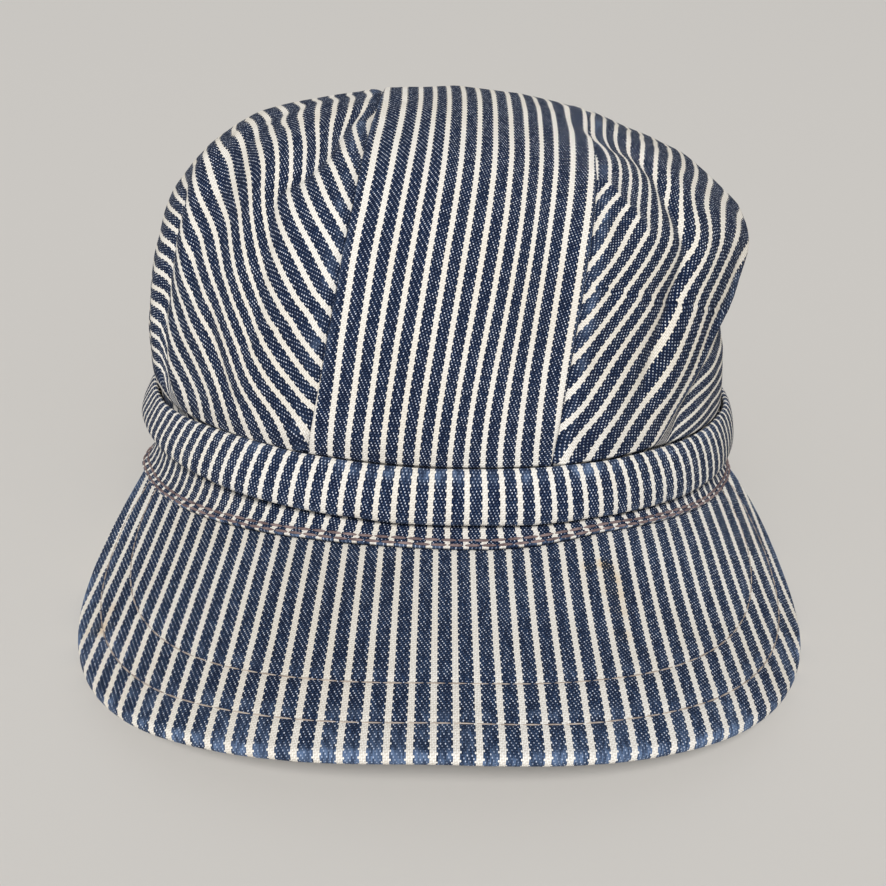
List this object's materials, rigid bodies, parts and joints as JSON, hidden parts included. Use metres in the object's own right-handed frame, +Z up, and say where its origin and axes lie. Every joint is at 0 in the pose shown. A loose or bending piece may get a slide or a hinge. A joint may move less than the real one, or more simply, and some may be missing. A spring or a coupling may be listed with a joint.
{
  "type": "railroad engineer cap",
  "caption": "Striped denim engineer cap: a soft puffed crown in three cloths, a folded band round its foot and a wide bent visor.",
  "frame": {"origin": "centre of the bounding box in plan, on the surface that the cap rests on", "axes": "+Z up, the visor points along -Y, +X is to the right as one looks at the cap's front"},
  "size_m": [0.1868, 0.2644, 0.1148],
  "materials": {
    "crown_denim": "indigo denim twill with cream stripes, mean colour",
    "band_denim": "indigo denim twill with cream stripes, mean colour",
    "visor_denim": "indigo denim twill with cream stripes over a stiff board, mean colour"
  },
  "bodies": {
    "root": {"crown_centre_strip": "crown_denim", "crown_side_left": "crown_denim", "crown_side_right": "crown_denim", "band": "band_denim", "rim_strip": "band_denim", "visor": "visor_denim"}
  },
  "joints": []
}
